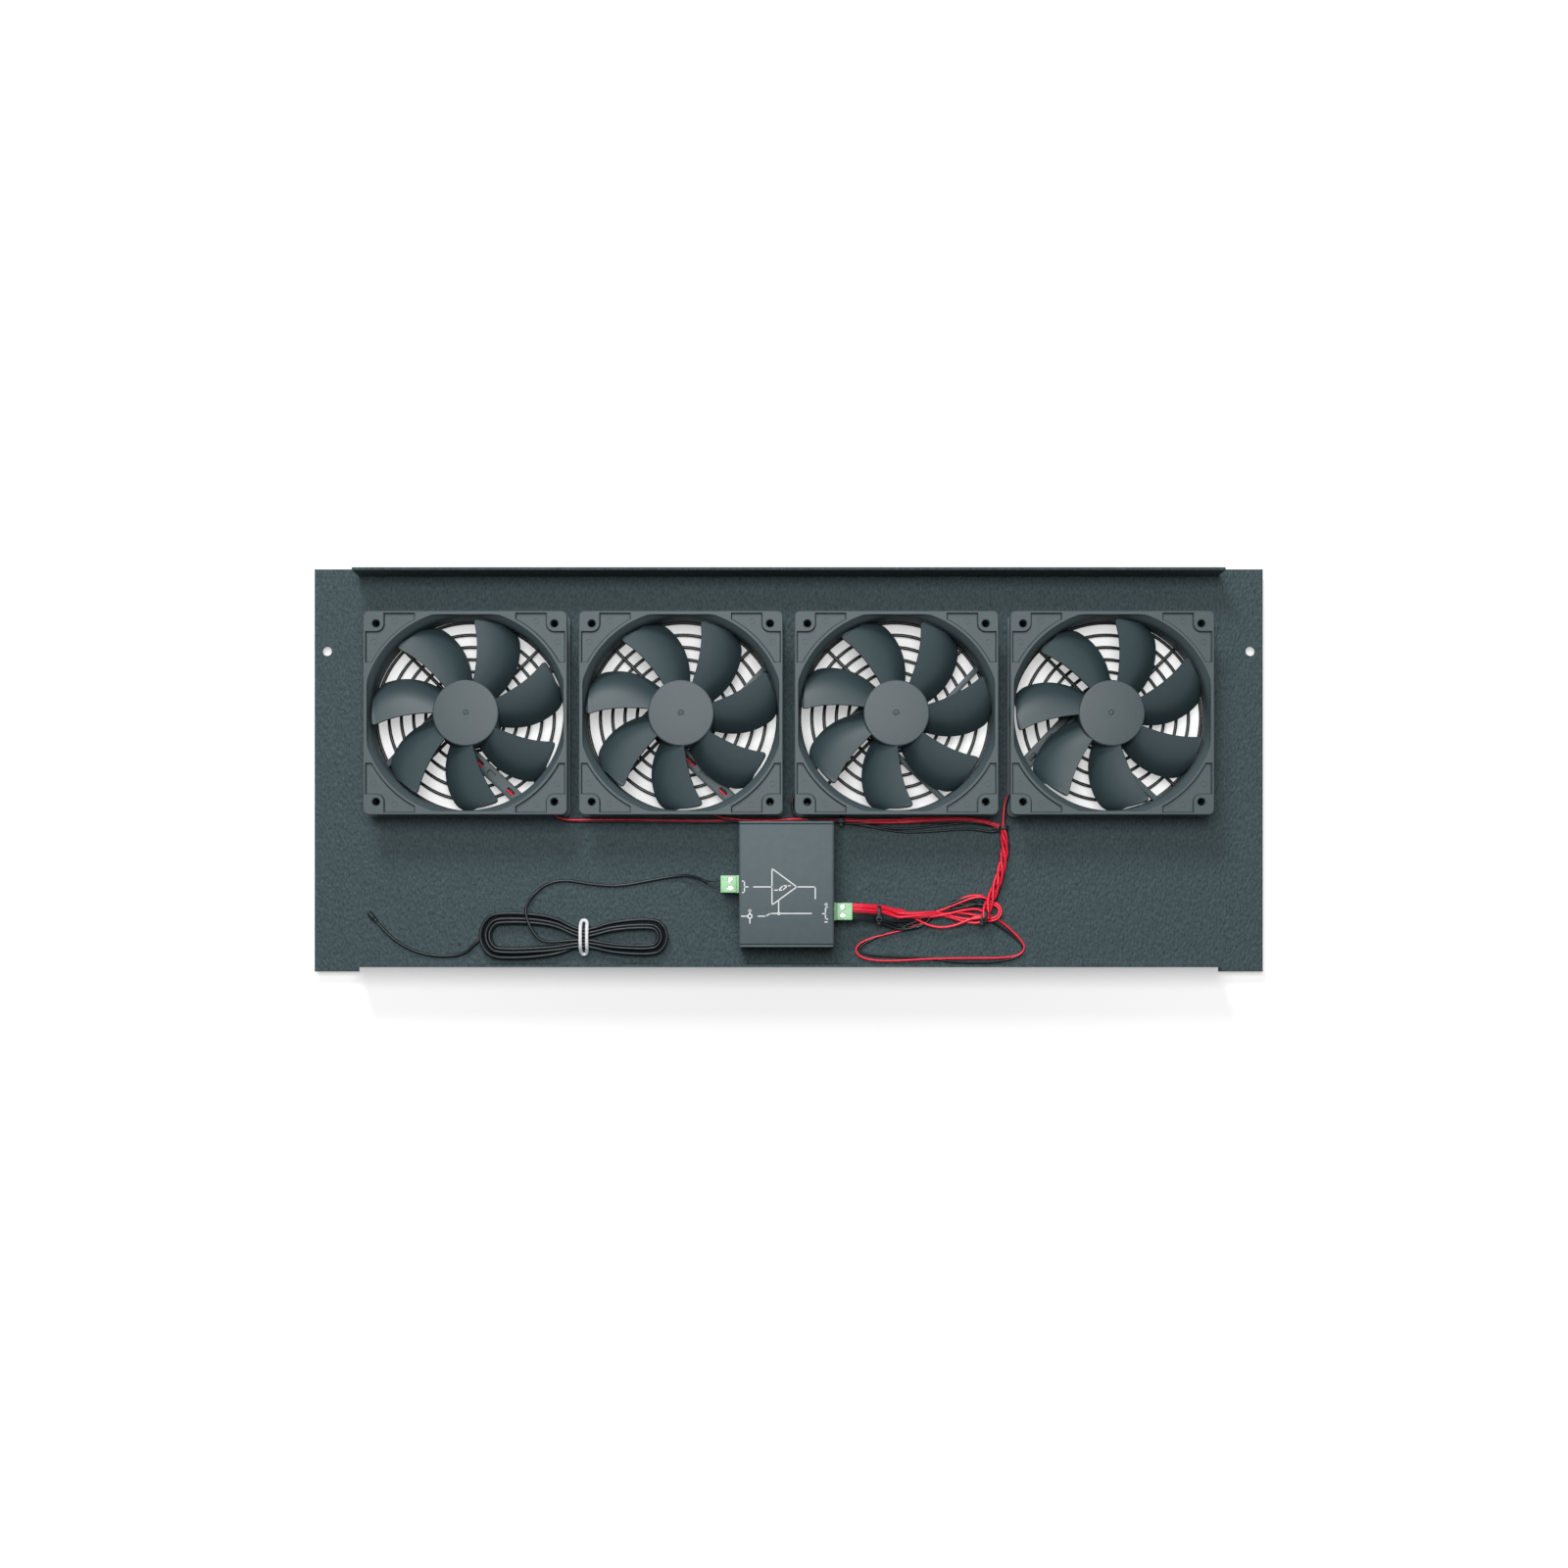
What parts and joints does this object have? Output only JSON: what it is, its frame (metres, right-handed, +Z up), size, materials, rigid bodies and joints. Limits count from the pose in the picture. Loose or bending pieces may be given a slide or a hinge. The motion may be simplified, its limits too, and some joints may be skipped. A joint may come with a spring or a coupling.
{
  "type": "rack fan tray",
  "caption": "Flanged steel rack panel with a row of axial fans over wire finger guards, a thermostat control box, its wiring and a coiled thermistor cord.",
  "frame": {"origin": "middle of the panel, at the level of the guard screws' heads, where the tray stands on a surface", "axes": "+X along the row of fans, +Y towards the flange nearest the fans, +Z up through the fans to their intake side"},
  "size_m": [0.568, 0.241, 0.0352],
  "materials": {
    "panel_paint": "fine textured black powder coat",
    "frame_plastic": "satin moulded black plastic",
    "wheel_plastic": "satin moulded black plastic",
    "guard_wire": "black coated steel wire",
    "screw_steel": "black oxide steel",
    "clamp_steel": "zinc plated steel",
    "motor_steel": "plain steel",
    "bearing_bronze": "sintered bronze",
    "magnet": "bonded ferrite",
    "copper_wire": "enamelled copper",
    "board_green": "glass-fibre circuit board",
    "case_black": "satin black anodised aluminium",
    "component_black": "moulded epoxy",
    "terminal_green": "green moulded plastic",
    "foam": "adhesive foam",
    "lead_red": "red and black wire insulation",
    "tie_black": "black nylon",
    "cord_black": "black cord jacket",
    "bead_black": "black epoxy bead",
    "tie_white": "white coated tie wire"
  },
  "bodies": {
    "root": {"tray_panel": "panel_paint", "finger_guard_1": "guard_wire", "fan_frame_1": "frame_plastic", "finger_guard_2": "guard_wire", "fan_frame_2": "frame_plastic", "finger_guard_3": "guard_wire", "fan_frame_3": "frame_plastic", "finger_guard_4": "guard_wire", "fan_frame_4": "frame_plastic", "bearing_sleeves": "bearing_bronze", "stator_cores": "motor_steel", "stator_windings": "copper_wire", "motor_boards": "board_green", "guard_screws": "screw_steel", "control_box_case": "case_black", "control_box_end_upper": "case_black", "control_box_end_lower": "case_black", "control_board": "board_green", "comparator_chip": "component_black", "drive_transistor": "component_black", "smoothing_capacitor": "component_black", "thermistor_header": "terminal_green", "fan_header": "terminal_green", "thermistor_plug": "terminal_green", "fan_plug": "terminal_green", "plug_clamp_screws": "clamp_steel", "power_jack": "component_black", "box_mounting_pad": "foam", "fan_leads": "lead_red", "lead_trunks": "lead_red", "cable_ties": "tie_black", "thermistor_lead": "cord_black", "thermistor_hank": "cord_black", "thermistor_tail": "cord_black", "thermistor_bead": "bead_black", "hank_tie": "tie_white"},
    "rotor_1": {"fan_impeller_1": "wheel_plastic", "rotor_magnet_1": "magnet", "rotor_shaft_1": "motor_steel"},
    "rotor_2": {"fan_impeller_2": "wheel_plastic", "rotor_magnet_2": "magnet", "rotor_shaft_2": "motor_steel"},
    "rotor_3": {"fan_impeller_3": "wheel_plastic", "rotor_magnet_3": "magnet", "rotor_shaft_3": "motor_steel"},
    "rotor_4": {"fan_impeller_4": "wheel_plastic", "rotor_magnet_4": "magnet", "rotor_shaft_4": "motor_steel"}
  },
  "joints": [
    {"name": "fan_spin_1", "type": "hinge", "parent": "root", "child": "rotor_1", "pos_m": [-0.1905, 0.032, 0.0187], "axis": [0, 0, 1], "continuous": true},
    {"name": "fan_spin_2", "type": "hinge", "parent": "root", "child": "rotor_2", "pos_m": [-0.0635, 0.032, 0.0187], "axis": [0, 0, 1], "continuous": true},
    {"name": "fan_spin_3", "type": "hinge", "parent": "root", "child": "rotor_3", "pos_m": [0.0635, 0.032, 0.0187], "axis": [0, 0, 1], "continuous": true},
    {"name": "fan_spin_4", "type": "hinge", "parent": "root", "child": "rotor_4", "pos_m": [0.1905, 0.032, 0.0187], "axis": [0, 0, 1], "continuous": true}
  ]
}
